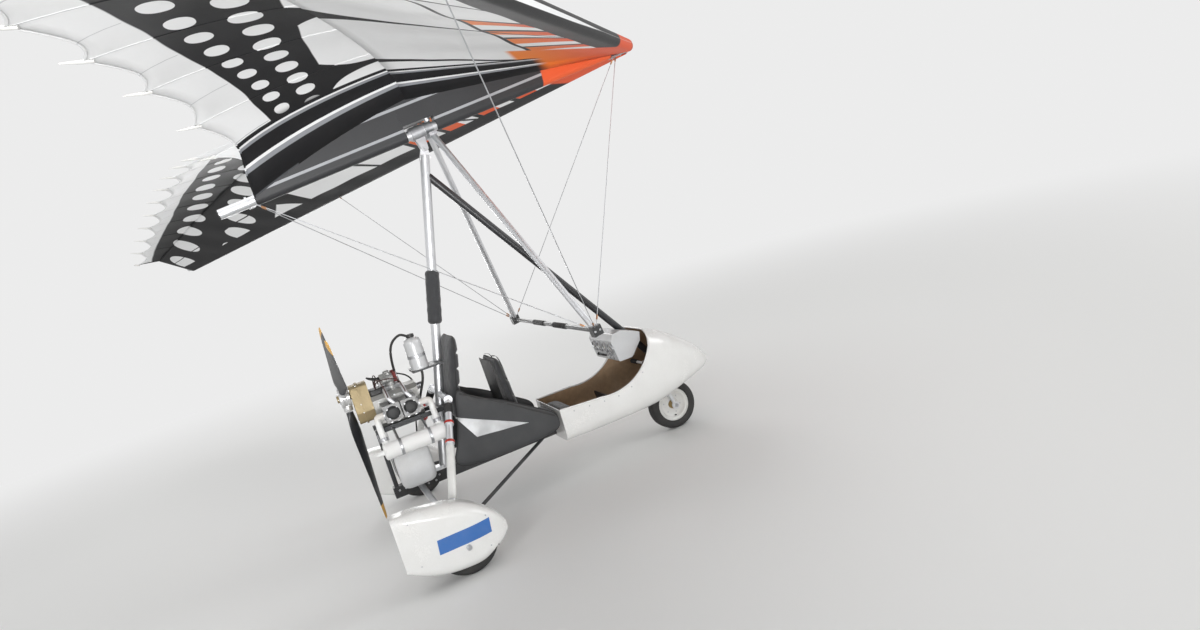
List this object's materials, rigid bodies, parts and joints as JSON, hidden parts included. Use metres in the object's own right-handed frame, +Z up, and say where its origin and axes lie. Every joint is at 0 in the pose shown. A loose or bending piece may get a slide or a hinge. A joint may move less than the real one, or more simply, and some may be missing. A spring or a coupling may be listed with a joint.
{
  "type": "flex-wing microlight aircraft",
  "caption": "Open two-seat flex-wing microlight: white pod and spats, raked mast, pusher flat-four engine and propeller, under a swept wing with a spotted band and control frame.",
  "frame": {"origin": "on the ground under the middle of the whole aircraft's bounding box", "axes": "+X towards the nose, +Y to port, +Z up"},
  "size_m": [4.0896, 9.8356, 3.6024],
  "materials": {
    "black_frame": "semi-gloss black paint",
    "silver_tube": "satin anodised",
    "black_pad": "closed foam, matt",
    "black_tube": "black anodised",
    "dark_tube": "dark grey powder coat",
    "steel": "plated steel",
    "tyre": "rubber with tread",
    "white_rim": "white enamel",
    "white_shell": "gloss white gel coat",
    "engine_casting": "bare casting",
    "gearbox_casting": "pale gold alodined casting",
    "black_plastic": "black, semi-matt",
    "exhaust_steel": "pale heat-resisting coat",
    "tank_plastic": "rotomoulded, pale grey",
    "seat_cloth": "dark woven cloth",
    "sail_cloth": "woven polyester sailcloth"
  },
  "bodies": {
    "trike": {"keel_beam": "black_frame", "mast": "silver_tube", "mast_sleeve": "black_pad", "front_strut": "black_tube", "stub_axles": "steel", "spats": "white_shell", "suspension_legs": "silver_tube", "axle_arms": "dark_tube", "drag_struts": "dark_tube", "engine_bearer": "dark_tube", "crankcase": "engine_casting", "cylinders": "engine_casting", "rocker_covers": "black_plastic", "gearbox": "gearbox_casting", "muffler": "exhaust_steel", "exhaust_pipes": "exhaust_steel", "muffler_hangers": "steel", "carburettors": "engine_casting", "oil_tank": "silver_tube", "oil_tank_bracket": "dark_tube", "fuel_tank": "tank_plastic", "pod": "white_shell", "pod_formers": "black_plastic", "instrument_panel": "black_plastic", "seat_rails": "dark_tube", "seat_pedestal": "black_pad", "seat_front": "seat_cloth", "seat_rear": "seat_cloth", "panniers": "seat_cloth"},
    "nose_fork": {"nose_fork": "silver_tube", "foot_bar": "silver_tube", "nose_axle": "steel"},
    "nose_wheel": {"tyre_nose": "tyre", "rim_nose": "white_rim"},
    "left_wheel": {"tyre_left": "tyre", "rim_left": "white_rim"},
    "right_wheel": {"tyre_right": "tyre", "rim_right": "white_rim"},
    "propeller": {"prop_hub": "engine_casting", "prop_blades": "black_plastic"},
    "hang_block": {"hang_bracket": "steel"},
    "wing": {"wing_keel": "silver_tube", "leading_edges": "silver_tube", "sail": "sail_cloth", "keel_pocket": "sail_cloth", "kingpost": "silver_tube", "nose_plates": "steel", "upright_knuckle": "steel", "corner_fittings": "black_plastic", "uprights": "silver_tube", "base_bar": "black_frame", "stays": "steel"}
  },
  "joints": [
    {"name": "steering", "type": "hinge", "parent": "trike", "child": "nose_fork", "pos_m": [1.59408, 0, 0.175], "axis": [-0.2588, 0, 0.9659], "range_deg": [-25, 25]},
    {"name": "nose_wheel_spin", "type": "hinge", "parent": "nose_fork", "child": "nose_wheel", "pos_m": [1.59408, 0, 0.175], "axis": [0, 1, 0], "continuous": true},
    {"name": "left_wheel_spin", "type": "hinge", "parent": "trike", "child": "left_wheel", "pos_m": [-0.17592, 0.842, 0.175], "axis": [0, 1, 0], "continuous": true},
    {"name": "right_wheel_spin", "type": "hinge", "parent": "trike", "child": "right_wheel", "pos_m": [-0.17592, -0.842, 0.175], "axis": [0, 1, 0], "continuous": true},
    {"name": "propeller_spin", "type": "hinge", "parent": "trike", "child": "propeller", "pos_m": [-0.50292, 0, 1.014], "axis": [1, 0, 0], "continuous": true},
    {"name": "wing_pitch", "type": "hinge", "parent": "trike", "child": "hang_block", "pos_m": [0.43908, 0, 2.349], "axis": [0, -1, 0], "range_deg": [-14, 7]},
    {"name": "wing_roll", "type": "hinge", "parent": "hang_block", "child": "wing", "pos_m": [0.42387, 0, 2.44784], "axis": [0.9884, 0, 0.1521], "range_deg": [-18, 18]}
  ]
}
